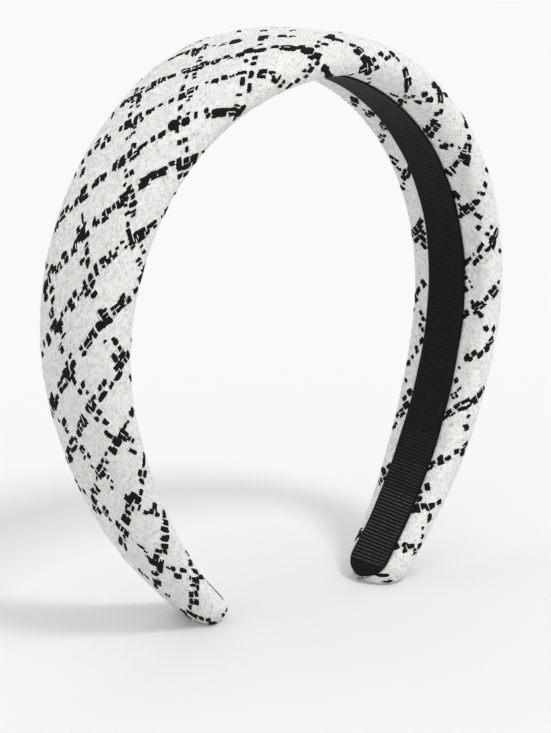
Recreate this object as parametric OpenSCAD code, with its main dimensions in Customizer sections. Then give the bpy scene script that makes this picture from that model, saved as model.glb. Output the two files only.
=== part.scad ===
// Padded headband. A thick padded band, covered in cloth, bends over the crown of
// the head and narrows to two round tips. A flat ribbon lines its inner face.
// The band stands on its two tips. X runs across the head, Y from front to back,
// and the origin lies on the ground below the middle of the arch.

/* [Arch] */
// Length of the band from the top of the arch to either tip, along its inner face
leg_length = 190; // [170:1:210]
// Radius of the inner face over the crown and beside the head
crown_radius = 62; // [56:0.5:70]
// Turn of the band, in degrees from the top, where the straighter lower leg begins
crown_turn = 106; // [90:1:115]
// Radius of the inner face along the lower leg
leg_radius = 137; // [100:1:220]
// How far the two tips lie in front of the top of the arch, on average
leg_sweep = 1; // [0:0.5:6]
// How much further forward than that the right tip lies, and how much less the left
leg_twist = 6.5; // [0:0.5:9]
// How far the left leg is rolled towards its back edge, in degrees at its tip
left_roll = 7; // [0:0.5:9]

/* [Padding] */
// Width of the band at the top of the arch
crown_width = 43.5; // [38:0.5:54]
// Width of the band where its round tips begin
tip_width = 19.5; // [17:0.5:24]
// Height of the padding above the band's widest line, at the top of the arch
crown_pad = 7; // [5:0.5:9]
// How much lower the padding of the left leg is, at its tip
left_thinner = 0.8; // [0:0.1:1.5]
// Depth of the rounded edge, from the widest line down to the inner face
edge_depth = 3.5; // [2.5:0.25:4.5]
// Width of the rounded edge, from the widest line in to the flat inner face
edge_round = 3; // [2:0.25:3.5]
// Length of the rounded end of each tip
tip_round = 9; // [7:0.5:11]
// Height above the inner face at which the rounded end of a tip closes
nose_height = 1.5; // [1:0.25:2.5]
// How much of each tip's underside is pressed flat where the band stands on it
foot_press = 1.7; // [0.8:0.1:2.2]

/* [Ribbon] */
// Width of the ribbon
ribbon_width = 13; // [9:0.5:13.5]
// Thickness of the ribbon
ribbon_thick = 1; // [0.8:0.1:1.4]
// Gap between the ribbon and the inner face
ribbon_gap = 0.2; // [0.15:0.05:0.3]
// How far before each tip the ribbon ends
ribbon_stop = 1.5; // [1.5:0.5:20]
// Length of the ribbon's rounded ends
ribbon_round = 7; // [6:0.5:8]

/* [Smoothness] */
// Sections along each leg, without those of the rounded end
leg_sections = 28; // [26:1:36]
// Sections in each rounded end
end_sections = 7; // [5:1:9]
// Steps over the padded side of a section
pad_steps = 16; // [12:2:20]
// Steps around each rounded edge of a section
edge_steps = 4; // [3:1:5]

/* [Hidden] */

// How square the padding's section is: an exponent of 1 is an ellipse, less is fuller
pad_exponent_across = 0.62;
pad_exponent_up = 0.9;
// How soon the rounded end of a tip thins: an exponent of 1 follows the width
thinning_exponent = 0.7;
// The last section of a rounded end, as a share of the full one
end_share = 0.02;

// The band along one leg
PLACE = 0; // share of leg_length, from the top of the arch
WIDTH = 1; // share of the way from tip_width up to crown_width
PAD = 2; // share of crown_pad
BAND = [
    [0.00, 1.00, 1.00],
    [0.25, 0.62, 1.05],
    [0.50, 0.42, 1.20],
    [0.75, 0.24, 1.22],
    [0.93, 0.01, 0.92],
    [1.00, 0.00, 0.88],
];

crown_length = crown_radius * crown_turn * PI / 180;
ribbon_length = leg_length - ribbon_stop;
RIGHT = 1;
LEFT = -1;

// A smooth line through one column of a table, by place
function row_below(table, place) =
    max([for (i = [0 : len(table) - 2]) if (i == 0 || table[i][PLACE] <= place) i]);

function rise(table, col, i, j) =
    (table[j][col] - table[i][col]) / (table[j][PLACE] - table[i][PLACE]);

function slope(table, col, i) =
    i == 0 ? 0 : rise(table, col, i - 1, min(i + 1, len(table) - 1));

function along(table, col, place) =
    let (
        i = row_below(table, place),
        span = table[i + 1][PLACE] - table[i][PLACE],
        t = (place - table[i][PLACE]) / span
    )
    table[i][col] * (1 + 2 * t) * (1 - t) ^ 2
        + table[i + 1][col] * t ^ 2 * (3 - 2 * t)
        + slope(table, col, i) * span * t * (1 - t) ^ 2
        - slope(table, col, i + 1) * span * t ^ 2 * (1 - t);

// The inner face's middle line at a distance s from the top, as turn, X, Y and Z
function turn_at(s) =
    s < crown_length
        ? s / crown_radius * 180 / PI
        : crown_turn + (s - crown_length) / leg_radius * 180 / PI;

function x_at(s) =
    crown_radius * sin(min(turn_at(s), crown_turn))
        + leg_radius * (sin(max(turn_at(s), crown_turn)) - sin(crown_turn));

function z_at(s) =
    crown_radius * (cos(min(turn_at(s), crown_turn)) - 1)
        + leg_radius * (cos(max(turn_at(s), crown_turn)) - cos(crown_turn));

function y_at(s, side) = -(leg_sweep + side * leg_twist) * (s / leg_length) ^ 2;

// The left leg rolls round the middle line of its inner face, more towards its tip
function roll_at(s, side) = side == LEFT ? left_roll * (s / leg_length) ^ 2 : 0;

// A point out from the middle line, and across the band from it
function spot(s, side, across, out) =
    let (
        roll = roll_at(s, side),
        sideways = across * cos(roll) + out * sin(roll),
        outwards = out * cos(roll) - across * sin(roll)
    )
    [
        side * (x_at(s) + outwards * sin(turn_at(s))),
        y_at(s, side) + sideways,
        z_at(s) + outwards * cos(turn_at(s)),
    ];

// The band's section at s, across and out, from the flat inner face round the
// front edge, over the padding and round the back edge
function band_half(s) =
    (tip_width + (crown_width - tip_width) * along(BAND, WIDTH, s / leg_length)) / 2;

function band_pad(s, side) =
    crown_pad * along(BAND, PAD, s / leg_length)
        - (side == LEFT ? left_thinner * s / leg_length : 0);

function round_edge(half, depth, inset) =
    [for (i = [0 : edge_steps - 1])
        let (a = 90 * i / edge_steps)
        [half - inset + inset * sin(a), depth * (1 - cos(a))]];

function over_pad(half, depth, pad) =
    [for (i = [0 : pad_steps])
        let (a = 180 * i / pad_steps, c = cos(a))
        [
            half * sign(c) * abs(c) ^ pad_exponent_across,
            depth + pad * sin(a) ^ pad_exponent_up,
        ]];

function mirrored(points) =
    [for (i = [len(points) - 1 : -1 : 0]) [-points[i][0], points[i][1]]];

function band_section(s, side, share) =
    let (
        half = band_half(s) * share,
        edge = round_edge(half, edge_depth, edge_round * share),
        whole = concat(edge, over_pad(half, edge_depth, band_pad(s, side)), mirrored(edge)),
        thin = share ^ thinning_exponent
    )
    [for (p = whole) [p[0], nose_height + (p[1] - nose_height) * thin]];

// Places along a leg: even ones, and closer ones in the rounded end
function leg_places(length, round_length) =
    concat(
        [for (i = [0 : leg_sections]) (length - round_length) * i / leg_sections],
        [for (i = [1 : end_sections])
            length - round_length * (1 - sin(90 * i / end_sections))]
    );

// The share of the full section that a leg with a rounded end has at s
function share_at(s, length, round_length) =
    let (into = max(s - length + round_length, 0) / round_length)
    max(cos(asin(min(into, 1))), end_share);

function tip_share(s) = share_at(s, leg_length, tip_round);

// Both legs as one run of rings, from the left tip over the top to the right one
function over_arch(left, right) =
    concat([for (i = [len(left) - 1 : -1 : 1]) left[i]], right);

function band_rings(side) =
    [for (s = leg_places(leg_length, tip_round))
        [for (q = band_section(s, side, tip_share(s))) spot(s, side, q[0], q[1])]];

// The ribbon's section is a flat strip that follows the inner face
function ribbon_section(s) =
    let (
        half = ribbon_width / 2 * share_at(s, ribbon_length, ribbon_round),
        near = nose_height * (1 - tip_share(s) ^ thinning_exponent) - ribbon_gap,
        far = near - ribbon_thick
    )
    [[-half, near], [-half, far], [half, far], [half, near]];

function ribbon_rings(side) =
    [for (s = leg_places(ribbon_length, ribbon_round))
        [for (q = ribbon_section(s)) spot(s, side, q[0], q[1])]];

// The ground passes foot_press above the lowest points of the tips
band_shape = over_arch(band_rings(LEFT), band_rings(RIGHT));
ground = min([for (ring = band_shape) for (p = ring) p[2]]) + foot_press;

function stood(rings) =
    [for (ring = rings) [for (p = ring) [p[0], p[1], max(p[2] - ground, 0)]]];

// A closed skin over a run of rings that have the same number of points
module skin(rings) {
    n = len(rings[0]);
    last = len(rings) - 1;
    polyhedron(
        points = [for (ring = rings) each ring],
        faces = concat(
            [[for (j = [0 : n - 1]) j]],
            [[for (j = [n - 1 : -1 : 0]) last * n + j]],
            [for (i = [0 : last - 1]) for (j = [0 : n - 1])
                let (
                    a = i * n + j,
                    b = i * n + (j + 1) % n,
                    c = b + n,
                    d = a + n
                )
                each [[a, d, c], [a, c, b]]]
        )
    );
}

module padded_band() {
    color("ivory") skin(stood(band_shape));
}

module ribbon_lining() {
    color("black") skin(stood(over_arch(ribbon_rings(LEFT), ribbon_rings(RIGHT))));
}

padded_band();
ribbon_lining();
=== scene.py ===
"""Padded headband in a checked woven cloth, lined with a black ribbed ribbon.

The cover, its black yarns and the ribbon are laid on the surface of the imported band,
in two surface coordinates, both in millimetres: s runs along the band from the top of
the arch, negative towards the left tip and positive towards the right one, and w runs
round the band from the crest of the padding, negative over the front edge.
"""
import math

import bpy
import numpy as np
from mathutils import Matrix, Vector


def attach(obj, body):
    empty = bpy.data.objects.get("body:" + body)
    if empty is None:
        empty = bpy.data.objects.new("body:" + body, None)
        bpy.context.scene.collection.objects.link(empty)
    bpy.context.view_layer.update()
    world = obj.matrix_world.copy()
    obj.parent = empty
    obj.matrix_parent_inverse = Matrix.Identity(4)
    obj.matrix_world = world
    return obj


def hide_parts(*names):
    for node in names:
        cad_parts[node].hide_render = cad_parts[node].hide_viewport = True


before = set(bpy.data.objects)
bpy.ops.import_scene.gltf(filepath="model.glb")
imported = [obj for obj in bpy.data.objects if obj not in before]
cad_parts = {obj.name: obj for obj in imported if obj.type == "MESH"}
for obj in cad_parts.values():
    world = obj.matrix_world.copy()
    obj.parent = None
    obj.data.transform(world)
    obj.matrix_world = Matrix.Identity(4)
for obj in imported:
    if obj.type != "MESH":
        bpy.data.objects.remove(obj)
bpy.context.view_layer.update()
MM = 0.001
TINY = 1e-9
rng = np.random.default_rng(7)

# The band's sizes, exponents and shares, as in the part's source, in millimetres and radians
LEG_LENGTH = 190.0
CROWN_RADIUS = 62.0
CROWN_TURN = math.radians(106.0)
LEG_RADIUS = 137.0
LEG_SWEEP = 1.0
LEG_TWIST = 6.5
LEFT_ROLL = math.radians(7.0)
LEFT_THINNER = 0.8
CROWN_WIDTH = 43.5
TIP_WIDTH = 19.5
CROWN_PAD = 7.0
EDGE_DEPTH = 3.5
EDGE_ROUND = 3.0
TIP_ROUND = 9.0
NOSE_HEIGHT = 1.5
FOOT_PRESS = 1.7
ACROSS_EXPONENT = 0.62
UP_EXPONENT = 0.9
THINNING_EXPONENT = 0.7
END_SHARE = 0.02
PLACE = np.array([0.0, 0.25, 0.5, 0.75, 0.93, 1.0])
WIDTH = np.array([1.0, 0.62, 0.42, 0.24, 0.01, 0.0])
PAD = np.array([1.0, 1.05, 1.2, 1.22, 0.92, 0.88])
CROWN_LENGTH = CROWN_RADIUS * CROWN_TURN

# The camera, from a fit to the photo: degrees, millimetres and pixels
CAM_AZIMUTH = -43.318
CAM_ELEVATION = 13.722
CAM_DISTANCE = 561.652
CAM_FOCAL = 2101.057
CAM_AIM = (-2.841, -9.217)
CAM_ROLL = -0.788
CAM_TARGET = Vector((0.0, 0.0, 75.0))
PICTURE_SIZE = (551, 733)


def camera_axes():
    """The camera's place in millimetres, and its right, up and forward directions."""
    az, el = math.radians(CAM_AZIMUTH), math.radians(CAM_ELEVATION)
    back = Vector((math.sin(az) * math.cos(el), -math.cos(az) * math.cos(el), math.sin(el)))
    right = Vector((math.cos(az), math.sin(az), 0))
    up = back.cross(right)
    spot = CAM_TARGET + back * CAM_DISTANCE
    ahead = (CAM_TARGET + right * CAM_AIM[0] + up * CAM_AIM[1] - spot).normalized()
    right = ahead.cross(Vector((0, 0, 1))).normalized()
    up = right.cross(ahead)
    roll = math.radians(CAM_ROLL)
    right, up = (
        right * math.cos(roll) + up * math.sin(roll),
        up * math.cos(roll) - right * math.sin(roll),
    )
    return spot, right, up, ahead


def along(values, share):
    """A smooth line through one row of the band's table, as in the part's source."""
    share = np.asarray(share, float)
    i = np.clip(np.searchsorted(PLACE, share, side="right") - 1, 0, len(PLACE) - 2)
    slope = np.zeros(len(PLACE))
    for k in range(1, len(PLACE)):
        j = min(k + 1, len(PLACE) - 1)
        slope[k] = (values[j] - values[k - 1]) / (PLACE[j] - PLACE[k - 1])
    span = PLACE[i + 1] - PLACE[i]
    t = (share - PLACE[i]) / span
    return (
        values[i] * (1 + 2 * t) * (1 - t) ** 2
        + values[i + 1] * t**2 * (3 - 2 * t)
        + slope[i] * span * t * (1 - t) ** 2
        - slope[i + 1] * span * t**2 * (1 - t)
    )


def turn_at(a):
    """How far the band has turned at a distance from its top, in radians."""
    return np.where(a < CROWN_LENGTH, a / CROWN_RADIUS, CROWN_TURN + (a - CROWN_LENGTH) / LEG_RADIUS)


def tip_share(a):
    """How much of its size the section keeps over the round of a tip."""
    into = np.clip((a - LEG_LENGTH + TIP_ROUND) / TIP_ROUND, 0, 1)
    return np.maximum(np.sqrt(1 - into**2), END_SHARE)


def roll_at(s):
    """How far the left leg is rolled towards its back edge."""
    return np.where(s < 0, LEFT_ROLL * (s / LEG_LENGTH) ** 2, 0.0)


def pad_at(s):
    """The height of the padding over the band's widest line."""
    share = np.abs(s) / LEG_LENGTH
    return CROWN_PAD * along(PAD, share) - np.where(s < 0, LEFT_THINNER * share, 0.0)


def place(s, across, out):
    """Where a point of the section at s is: across the band, and out from its inner face."""
    s, across, out = np.broadcast_arrays(np.asarray(s, float), across, out)
    side, a, roll = np.where(s < 0, -1.0, 1.0), np.abs(s), roll_at(s)
    across, out = (
        across * np.cos(roll) + out * np.sin(roll),
        out * np.cos(roll) - across * np.sin(roll),
    )
    t = turn_at(a)
    bend, lean = np.minimum(t, CROWN_TURN), np.maximum(t, CROWN_TURN)
    x = CROWN_RADIUS * np.sin(bend) + LEG_RADIUS * (np.sin(lean) - math.sin(CROWN_TURN))
    z = CROWN_RADIUS * (np.cos(bend) - 1) + LEG_RADIUS * (np.cos(lean) - math.cos(CROWN_TURN))
    y = -(LEG_SWEEP + side * LEG_TWIST) * (a / LEG_LENGTH) ** 2
    return np.stack([side * (x + out * np.sin(t)), y + across, z + out * np.cos(t)], -1)


# Points of a section along half its flat side and along each rounded edge, and over the pad
SIDE_POINTS = 24
OVER_POINTS = 161


def section(s):
    """The band's section at s, from the middle of its inner face over the crest and back,
    with the distance round it from the crest."""
    a = abs(s)
    share = float(tip_share(a))
    half = (TIP_WIDTH + (CROWN_WIDTH - TIP_WIDTH) * along(WIDTH, a / LEG_LENGTH)) / 2 * share
    pad = float(pad_at(s))
    inset = EDGE_ROUND * share
    q = np.linspace(0, math.pi / 2, SIDE_POINTS)[:-1]
    p = np.linspace(0, math.pi, OVER_POINTS)
    flat = np.stack([np.linspace(0, half - inset, SIDE_POINTS)[:-1], np.zeros_like(q)], 1)
    edge = np.stack([half - inset + inset * np.sin(q), EDGE_DEPTH * (1 - np.cos(q))], 1)
    c = np.cos(p)
    over = np.stack(
        [
            half * np.sign(c) * np.abs(c) ** ACROSS_EXPONENT,
            EDGE_DEPTH + pad * np.maximum(np.sin(p), 0) ** UP_EXPONENT,
        ],
        1,
    )
    flip = np.array([-1.0, 1.0])
    ring = np.concatenate([flat, edge, over, (edge * flip)[::-1], (flat * flip)[::-1]])
    ring[:, 1] = NOSE_HEIGHT + (ring[:, 1] - NOSE_HEIGHT) * share**THINNING_EXPONENT
    steps = np.hypot(*np.diff(ring, axis=0).T)
    run = np.concatenate([[0], np.cumsum(steps)])
    crest = len(flat) + len(edge) + OVER_POINTS // 2
    return ring, run[crest] - run


# Places in the surface's table: over a tip, between the tips, and round the band as far as
# the last value from its crest
TIP_PLACES = 73
MIDDLE_PLACES = 725
ROUND_PLACES = 397
ROUND_REACH = 49.5


class Surface:
    """The band's surface as a table over s and w, read in straight lines between its rows."""

    def __init__(self):
        end = LEG_LENGTH - TIP_ROUND
        outer = np.linspace(end, LEG_LENGTH, TIP_PLACES)[1:]
        self.s = np.concatenate([-outer[::-1], np.linspace(-end, end, MIDDLE_PLACES), outer])
        self.w = np.linspace(-ROUND_REACH, ROUND_REACH, ROUND_PLACES)
        table, half = [], []
        for s in self.s:
            ring, w = section(s)
            order = np.argsort(w)
            across = np.interp(self.w, w[order], ring[order, 0])
            out = np.interp(self.w, w[order], ring[order, 1])
            table.append(place(s, across, out))
            half.append(w.max())
        self.table = np.array(table)
        self.half = np.array(half)
        self.ground = self.table[..., 2].min() + FOOT_PRESS

        crest = self.table[:, np.abs(self.w).argmin()]
        steps = np.linalg.norm(np.diff(crest, axis=0), axis=1)
        run = np.concatenate([[0], np.cumsum(steps)])
        run -= run[len(run) // 2]
        flat = np.abs(self.s) <= end
        self.run = np.where(flat, self.s, np.sign(self.s) * (end + np.abs(run) - abs(run[flat][0])))

    def half_round(self, s):
        """Half the distance round the band at s."""
        return np.interp(s, self.s, self.half)

    def spaced(self, run):
        """The s of a place at a true distance along the crest, which is longer over a tip."""
        return np.interp(run, self.run, self.s)

    def raw(self, s, w):
        """Points of the surface in millimetres, before it stands on the ground."""
        s = np.clip(s, self.s[0], self.s[-1])
        w = np.clip(w, -self.half_round(s), self.half_round(s))
        i = np.clip(np.searchsorted(self.s, s, side="right") - 1, 0, len(self.s) - 2)
        f = ((s - self.s[i]) / (self.s[i + 1] - self.s[i]))[..., None]
        g = (w - self.w[0]) / (self.w[1] - self.w[0])
        j = np.clip(g.astype(int), 0, len(self.w) - 2)
        g = (g - j)[..., None]
        before = self.table[i, j] * (1 - g) + self.table[i, j + 1] * g
        after = self.table[i + 1, j] * (1 - g) + self.table[i + 1, j + 1] * g
        return before * (1 - f) + after * f

    def normal(self, s, w, reach=0.3):
        """The direction straight out of the surface, from places a reach away."""
        lim = LEG_LENGTH - reach
        s = np.clip(s, -lim, lim)
        half = np.maximum(self.half_round(s) - reach, 0)
        w = np.clip(w, -half, half)
        du = self.raw(s + reach, w) - self.raw(s - reach, w)
        dw = self.raw(s, w + reach) - self.raw(s, w - reach)
        n = np.cross(du, dw)
        return n / np.maximum(np.linalg.norm(n, axis=-1, keepdims=True), TINY)

    def at(self, s, w, height):
        """Points at a height over the surface, in metres, standing on the ground."""
        s, w, height = np.broadcast_arrays(np.asarray(s, float), w, height)
        p = self.raw(s, w) + self.normal(s, w) * height[..., None]
        p[..., 2] = np.maximum(p[..., 2] - self.ground, 0)
        return p * MM


surface = Surface()


def mesh_piece(name, points, faces, materials, threads=None, kinds=None):
    """A new mesh object from points in metres and faces that all have four corners, with
    the place of each point in threads and the number of each face's material."""
    mesh = bpy.data.meshes.new(name)
    points, faces = np.asarray(points, np.float32).reshape(-1, 3), np.asarray(faces, np.int32)
    used = np.unique(faces)
    renumber = np.zeros(len(points), np.int32)
    renumber[used] = np.arange(len(used))
    points, faces = points[used], renumber[faces]
    threads = np.zeros_like(points) if threads is None else np.asarray(threads, np.float32)[used]
    mesh.vertices.add(len(points))
    mesh.vertices.foreach_set("co", points.ravel())
    mesh.loops.add(faces.size)
    mesh.loops.foreach_set("vertex_index", faces.ravel())
    mesh.polygons.add(len(faces))
    mesh.polygons.foreach_set("loop_start", np.arange(0, faces.size, faces.shape[1], dtype=np.int32))
    mesh.update(calc_edges=True)
    mesh.polygons.foreach_set("use_smooth", np.full(len(mesh.polygons), True))
    mesh.attributes.new("threads", "FLOAT_VECTOR", "POINT").data.foreach_set("vector", threads.ravel())
    for material in materials:
        mesh.materials.append(material)
    if kinds is not None:
        mesh.polygons.foreach_set("material_index", kinds.astype(np.int32))
    mesh.update()
    piece = bpy.data.objects.new(name, mesh)
    bpy.context.scene.collection.objects.link(piece)
    return piece


def grid_faces(rows, cols, closed=False):
    """Faces between the rows of a grid, whose rows close on themselves if asked."""
    i, j = np.meshgrid(np.arange(rows - 1), np.arange(cols if closed else cols - 1), indexing="ij")
    a = i * cols + j
    b = i * cols + (j + 1) % cols
    return np.stack([a, b, b + cols, a + cols], -1).reshape(-1, 4)


def chart(text):
    """The numbers of a chart, whose rows are parted by blanks and values by commas."""
    return np.array([[float(value) for value in row.split(",")] for row in text.split()])


# The check. Yarns of family A run down to the right in s and w, and those of family B up
# to the right. Each line: where it crosses the crest, and its slant over the front half
# and over the back half, as millimetres of s to one of w. Read off the photo where the
# line shows there, and carried on at the same spacing where it doesn't.
A_LINES = chart("""
-222,1.45,1.4 -203.5,1.45,1.4 -185.5,1.45,1.4 -169.3,1.47,1.3 -150.8,1.4,1.2 -132,1.08,1.1
-118.4,1.08,1.08 -104,1.08,1.08 -89.8,1.15,1.12 -75.3,1.2,1.12 -59.5,1.18,1.08 -44.5,1.13,1.1 -29,1.08,1.1
-14.5,0.96,0.96 0,1.08,0.95 18,1.07,0.95 37,1,0.95 53,0.92,0.95 69.5,0.87,0.93 83.5,0.97,0.97 98.3,0.97,1
113,1,1 129.7,1.03,1.03 146.8,1,1 161.5,0.95,0.95 177,1,1 193,1,1 209,1,1 225,1,1 241,1,1
""")
B_LINES = chart("""
-262,1.7,1.3 -239,1.7,1.3 -216,1.7,1.3 -192,1.7,1.3 -168,1.7,1.3 -139,1.65,1.3 -117.5,1.4,1.3
-97.3,1.35,1.3 -71.5,1.37,1.3 -48.5,1.2,1.2 -28.3,1.12,1.05 -6.5,1.2,1 20,1.25,0.92 43.6,1.25,0.86
64,1.15,0.94 85,1.1,1.08 107,1.1,1.08 132,1.05,1.05 157.6,1.05,1.05 183,1.05,1.05 207,1.05,1.05
231,1.05,1.05
""")
# Threads of the ground weave between one line and the next
A_THREADS = 12
B_THREADS = 17
# How far past a tip's end the weave closes, and how far before it and to what share of its
# relief it grows smoother
NOSE_CLOSING = 0.9
NOSE_SMOOTHING = 3.0
NOSE_RELIEF = 0.1
# The smooth skin under the weave of a tip
LINING_LENGTH = 5.0
LINING_DEPTH = -0.10
LINING_ROWS = 16
LINING_COLUMNS = 49
# The ground weave's relief in millimetres: between threads, on a thread's crest, and
# between two crossings that a thread goes under, under and over, and over
PIT = -0.30
CREST = 0.10
BETWEEN = [-0.16, -0.05, 0.08]
UNEVEN = 0.03
# How far past the middle of the inner face the weave runs, where its two edges meet
SIDE_OVERLAP = 0.3
# How far a thread strays, as a share of half their spacing, how often one stays over its
# neighbours, over how many crossings its thickness holds, and what parts its three tints
THREAD_WANDER = 0.16
FLOAT_SHARE = 0.25
RUN_LENGTH = 4
TINT_LIMITS = [-0.6, 0.5]


def line_values(lines, number):
    """A line's three values at a number that need not be whole."""
    index = np.arange(len(lines))
    return [np.interp(number, index, lines[:, k]) for k in range(3)]


def crossing(a, b):
    """The s and w at which line a of family A and line b of family B cross."""
    start_a, front_a, back_a = line_values(A_LINES, a)
    start_b, front_b, back_b = line_values(B_LINES, b)
    gap = start_a - start_b
    w = np.where(gap < 0, gap / (front_a + front_b), gap / (back_a + back_b))
    return start_a - w * np.where(w < 0, front_a, back_a), w


def interlaced(rows, cols):
    """The height of each point of the weave's grid, and the tint of each thread crossing.

    Odd rows are threads of family A and odd columns threads of family B. A thread that
    stays over its neighbours makes one long raised float.
    """
    many_a, many_b = rows // 2, cols // 2
    i, j = np.meshgrid(np.arange(many_a), np.arange(many_b), indexing="ij")
    a_over = ((i + j) % 2 == 0) ^ (rng.random((many_a, many_b)) < FLOAT_SHARE)
    thick_a = rng.normal(0, 1, (many_a, many_b // RUN_LENGTH + 2))
    thick_b = rng.normal(0, 1, (many_a // RUN_LENGTH + 2, many_b))
    stagger_a = rng.integers(0, RUN_LENGTH, many_a)[:, None]
    stagger_b = rng.integers(0, RUN_LENGTH, many_b)[None, :]
    run_a = thick_a[i, (j + stagger_a) // RUN_LENGTH]
    run_b = thick_b[(i + stagger_b) // RUN_LENGTH, j]
    thread = np.where(a_over, run_a, run_b)

    height = np.full((rows, cols), PIT)
    height[1::2, 1::2] = CREST + UNEVEN * thread + rng.normal(0, UNEVEN, thread.shape)
    along_a = a_over[:, 1:].astype(int) + a_over[:, :-1]
    along_b = (~a_over[1:]).astype(int) + ~a_over[:-1]
    height[1::2, 2:-1:2] = np.choose(along_a, BETWEEN)
    height[2:-1:2, 1::2] = np.choose(along_b, BETWEEN)
    return height, np.digitize(thread, TINT_LIMITS)


def woven_cover():
    """The ground weave as one raised cell for each thread crossing: the points, faces,
    places in threads and tints of its left and its right half."""
    a = np.arange((len(A_LINES) - 1) * A_THREADS * 2 + 1) / (A_THREADS * 2)
    b = np.arange((len(B_LINES) - 1) * B_THREADS * 2 + 1) / (B_THREADS * 2)
    grid_a, grid_b = np.meshgrid(a, b, indexing="ij")
    grid_a = grid_a + rng.normal(0, THREAD_WANDER, grid_a.shape) / A_THREADS / 2
    grid_b = grid_b + rng.normal(0, THREAD_WANDER, grid_b.shape) / B_THREADS / 2
    run, w = crossing(grid_a, grid_b)
    s = surface.spaced(run)
    height, tint = interlaced(len(a), len(b))
    height = height * np.clip((surface.run[-1] - np.abs(run)) / NOSE_SMOOTHING, NOSE_RELIEF, 1)
    # Past a tip's end the weave closes on the middle of the nose
    past = np.clip((np.abs(run) - surface.run[-1]) / NOSE_CLOSING, 0, 1)
    points = surface.at(s, w, height)
    nose = surface.at(s, surface.half_round(s), 0)
    points = (points + (nose - points) * past[..., None]).reshape(-1, 3)
    threads = np.stack([grid_b * B_THREADS, grid_a * A_THREADS, np.zeros_like(s)], -1)
    threads = threads.reshape(-1, 3)
    # The corners the other way round, so that the faces look out of the cloth
    corners = grid_faces(len(a), len(b))[:, [0, 3, 2, 1]]
    row, column = np.divmod(corners[:, 0], len(b))
    face_tint = tint[row // 2, column // 2]
    middle_run = run.ravel()[corners].mean(-1)
    middle_w = w.ravel()[corners].mean(-1)
    inside = np.abs(middle_run) < surface.run[-1] + NOSE_CLOSING
    inside &= np.abs(middle_w) < surface.half_round(surface.spaced(middle_run)) + SIDE_OVERLAP
    halves = []
    for side, half in ((-1, inside & (middle_run < 0)), (1, inside & (middle_run >= 0))):
        extra, faces = tip_lining(side)
        halves.append(
            (
                np.concatenate([points, extra]),
                np.concatenate([corners[half], faces + len(points)]),
                np.concatenate([threads, extra / MM]),
                np.concatenate([face_tint[half], np.ones(len(faces), int)]),
            )
        )
    return halves


def tip_lining(side):
    """A smooth skin just under the weave of a tip, closed at the end of its nose."""
    run = np.linspace(surface.run[-1] - LINING_LENGTH, surface.run[-1], LINING_ROWS)
    s = side * surface.spaced(run)[:, None]
    w = np.linspace(-1, 1, LINING_COLUMNS)[None, :] * surface.half_round(s)
    points = surface.at(s, w, LINING_DEPTH)
    middle = np.broadcast_to(points[-1].mean(0), points[-1:].shape)
    faces = grid_faces(LINING_ROWS + 1, LINING_COLUMNS)
    if side < 0:
        faces = faces[:, ::-1]
    return np.concatenate([points, middle]).reshape(-1, 3), faces
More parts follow.
